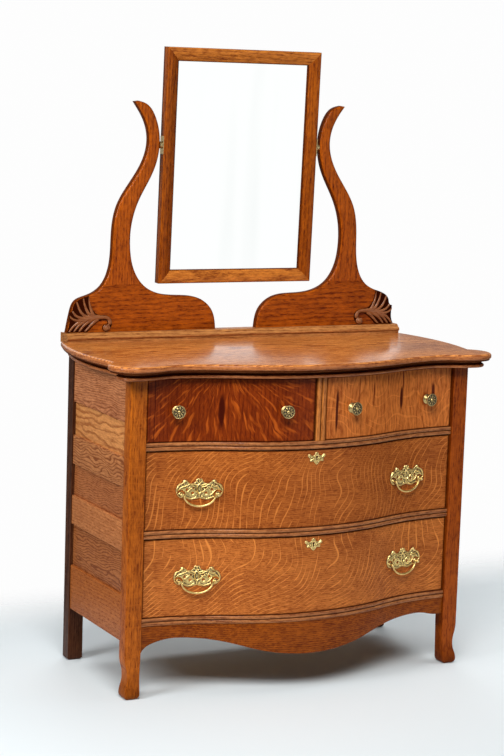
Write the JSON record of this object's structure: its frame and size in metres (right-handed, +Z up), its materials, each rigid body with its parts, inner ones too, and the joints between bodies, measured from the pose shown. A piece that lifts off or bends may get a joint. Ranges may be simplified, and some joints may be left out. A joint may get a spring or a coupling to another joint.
{
  "type": "dresser with mirror",
  "caption": "Serpentine-front oak dresser with small drawers over wide ones, brass bail pulls and knobs, carved leaves, and a framed mirror that tilts between scrolled arms.",
  "frame": {"origin": "on the floor, under the middle of the space that the dresser takes up", "axes": "+Z up, -Y towards a person who faces the drawers, +X to that person's right"},
  "size_m": [1.058, 0.552, 1.5728],
  "materials": {
    "oak_case": "golden oak, shellac, half gloss",
    "oak_top": "golden oak, shellac, glossy",
    "oak_side_panel": "golden oak, shellac, half gloss",
    "carved_oak": "carved oak, darker in the hollows",
    "oak_mirror_frame": "golden oak, shellac, half gloss",
    "flame_oak": "flame-figured veneer, half gloss",
    "quartered_oak": "quarter-sawn oak, shellac, half gloss",
    "plain_wood": "unfinished softwood",
    "drawer_wood": "unfinished drawer lining",
    "knob_brass": "aged cast brass",
    "pull_brass": "bright cast brass",
    "pivot_brass": "dull brass",
    "lock_iron": "dull iron",
    "silvered_glass": "plain mirror glass"
  },
  "bodies": {
    "case": {"front_post_left": "oak_case", "rear_post_left": "oak_case", "side_rails_left": "oak_case", "side_panels_left": "oak_side_panel", "front_post_right": "oak_case", "rear_post_right": "oak_case", "side_rails_right": "oak_case", "side_panels_right": "oak_side_panel", "drawer_rail_lower": "oak_case", "drawer_rail_middle": "oak_case", "drawer_rail_upper": "oak_case", "drawer_divider": "oak_case", "apron": "oak_case", "top_under_moulding": "oak_top", "top_board": "oak_top", "back_boards": "plain_wood", "drawer_runners_left": "plain_wood", "drawer_runners_right": "plain_wood", "centre_runner": "plain_wood", "mirror_base_rail": "oak_top", "shoulder_left": "oak_case", "mirror_arm_left": "oak_case", "shoulder_right": "oak_case", "mirror_arm_right": "oak_case", "leaf_carvings": "carved_oak", "mirror_pivot_pins": "pivot_brass"},
    "mirror": {"mirror_frame": "oak_mirror_frame", "mirror_glass": "silvered_glass", "mirror_back_board": "plain_wood", "mirror_pivot_plates": "pivot_brass"},
    "small_drawer_left": {"small_drawer_left_front": "flame_oak", "small_drawer_left_sides": "drawer_wood", "small_drawer_left_back": "drawer_wood", "small_drawer_left_bottom": "drawer_wood", "small_drawer_left_knobs": "knob_brass"},
    "small_drawer_right": {"small_drawer_right_front": "flame_oak", "small_drawer_right_sides": "drawer_wood", "small_drawer_right_back": "drawer_wood", "small_drawer_right_bottom": "drawer_wood", "small_drawer_right_knobs": "knob_brass"},
    "middle_drawer_bail_left": {"middle_drawer_bail_left": "pull_brass"},
    "middle_drawer_bail_right": {"middle_drawer_bail_right": "pull_brass"},
    "middle_drawer_lock_bolt": {"middle_drawer_lock_bolt": "pivot_brass"},
    "middle_drawer": {"middle_drawer_front": "quartered_oak", "middle_drawer_sides": "drawer_wood", "middle_drawer_back": "drawer_wood", "middle_drawer_bottom": "drawer_wood", "middle_drawer_pull_plates": "pull_brass", "middle_drawer_escutcheon": "pull_brass", "middle_drawer_lock_case": "lock_iron"},
    "lower_drawer_bail_left": {"lower_drawer_bail_left": "pull_brass"},
    "lower_drawer_bail_right": {"lower_drawer_bail_right": "pull_brass"},
    "lower_drawer_lock_bolt": {"lower_drawer_lock_bolt": "pivot_brass"},
    "lower_drawer": {"lower_drawer_front": "quartered_oak", "lower_drawer_sides": "drawer_wood", "lower_drawer_back": "drawer_wood", "lower_drawer_bottom": "drawer_wood", "lower_drawer_pull_plates": "pull_brass", "lower_drawer_escutcheon": "pull_brass", "lower_drawer_lock_case": "lock_iron"}
  },
  "joints": [
    {"name": "mirror_tilt", "type": "hinge", "parent": "case", "child": "mirror", "pos_m": [0, 0.25002, 1.3235], "axis": [1, 0, 0], "range_deg": [-25, 25]},
    {"name": "small_drawer_left_slide", "type": "slide", "parent": "case", "child": "small_drawer_left", "axis": [0, -1, 0], "range_m": [0, 0.26]},
    {"name": "small_drawer_right_slide", "type": "slide", "parent": "case", "child": "small_drawer_right", "axis": [0, -1, 0], "range_m": [0, 0.26]},
    {"name": "middle_drawer_slide", "type": "slide", "parent": "case", "child": "middle_drawer", "axis": [0, -1, 0], "range_m": [0, 0.26]},
    {"name": "lower_drawer_slide", "type": "slide", "parent": "case", "child": "lower_drawer", "axis": [0, -1, 0], "range_m": [0, 0.26]},
    {"name": "middle_drawer_bail_left_swing", "type": "hinge", "parent": "middle_drawer", "child": "middle_drawer_bail_left", "pos_m": [-0.29331, -0.18071, 0.501], "axis": [-0.97, 0.2431, 0], "range_deg": [0, 85]},
    {"name": "middle_drawer_bail_right_swing", "type": "hinge", "parent": "middle_drawer", "child": "middle_drawer_bail_right", "pos_m": [0.29331, -0.18071, 0.501], "axis": [-0.97, -0.2431, 0], "range_deg": [0, 85]},
    {"name": "middle_drawer_lock_bolt_throw", "type": "slide", "parent": "middle_drawer", "child": "middle_drawer_lock_bolt", "axis": [0, 0, 1], "range_m": [0, 0.008]},
    {"name": "lower_drawer_bail_left_swing", "type": "hinge", "parent": "lower_drawer", "child": "lower_drawer_bail_left", "pos_m": [-0.29331, -0.18071, 0.285], "axis": [-0.97, 0.2431, 0], "range_deg": [0, 85]},
    {"name": "lower_drawer_bail_right_swing", "type": "hinge", "parent": "lower_drawer", "child": "lower_drawer_bail_right", "pos_m": [0.29331, -0.18071, 0.285], "axis": [-0.97, -0.2431, 0], "range_deg": [0, 85]},
    {"name": "lower_drawer_lock_bolt_throw", "type": "slide", "parent": "lower_drawer", "child": "lower_drawer_lock_bolt", "axis": [0, 0, 1], "range_m": [0, 0.008]}
  ]
}
